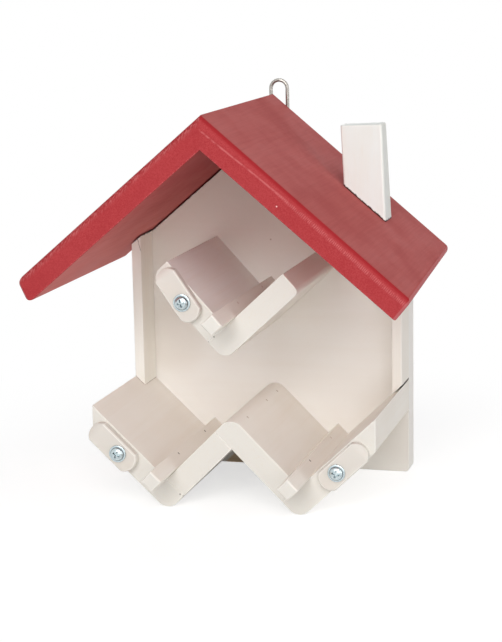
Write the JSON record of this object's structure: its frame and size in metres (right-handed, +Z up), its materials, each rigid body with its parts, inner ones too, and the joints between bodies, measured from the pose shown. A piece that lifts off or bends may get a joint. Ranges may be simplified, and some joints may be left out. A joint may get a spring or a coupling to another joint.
{
  "type": "bird feeder",
  "caption": "Wooden house-shaped feeder with pitched roof and chimney; V cradles hold jars on their sides, each with a perch stick and a turn button, and a wire loop hangs it.",
  "frame": {"origin": "middle of the footprint on the ground: halfway across the roof and halfway from the roof's front edge to the back of the hanger's screws", "axes": "+X to the right seen from the front, +Y to the back, +Z up"},
  "size_m": [0.2522, 0.182, 0.2753],
  "materials": {
    "whitewashed_wood": "thin white wash, matt, the grain showing through",
    "red_wood": "red stain, matt, brushed along the grain",
    "steel": "bright zinc plating"
  },
  "bodies": {
    "feeder": {"back_panel": "whitewashed_wood", "left_wall_strip": "whitewashed_wood", "right_wall_strip": "whitewashed_wood", "chimney_block": "whitewashed_wood", "upper_cradle_left_arm": "whitewashed_wood", "upper_cradle_right_arm": "whitewashed_wood", "lower_left_outer_arm": "whitewashed_wood", "lower_left_inner_arm": "whitewashed_wood", "lower_right_inner_arm": "whitewashed_wood", "lower_right_outer_arm": "whitewashed_wood", "upper_perch": "whitewashed_wood", "lower_left_perch": "whitewashed_wood", "lower_right_perch": "whitewashed_wood", "roof_board_left": "red_wood", "roof_board_right": "red_wood", "pivot_screws": "steel", "panel_screws": "steel", "perch_brads": "steel", "peak_brads": "steel", "hanging_loop": "steel", "hanger_screws": "steel"},
    "upper_button": {"upper_turn_button": "whitewashed_wood"},
    "left_button": {"left_turn_button": "whitewashed_wood"},
    "right_button": {"right_turn_button": "whitewashed_wood"}
  },
  "joints": [
    {"name": "upper_button_pivot", "type": "hinge", "parent": "feeder", "child": "upper_button", "pos_m": [-0.0294, -0.04925, 0.14004], "axis": [0, 1, 0], "range_deg": [-170, 120]},
    {"name": "left_button_pivot", "type": "hinge", "parent": "feeder", "child": "left_button", "pos_m": [-0.07708, -0.04925, 0.03646], "axis": [0, 1, 0], "continuous": true},
    {"name": "right_button_pivot", "type": "hinge", "parent": "feeder", "child": "right_button", "pos_m": [0.07201, -0.04925, 0.03164], "axis": [0, -1, 0], "range_deg": [-170, 120]}
  ]
}
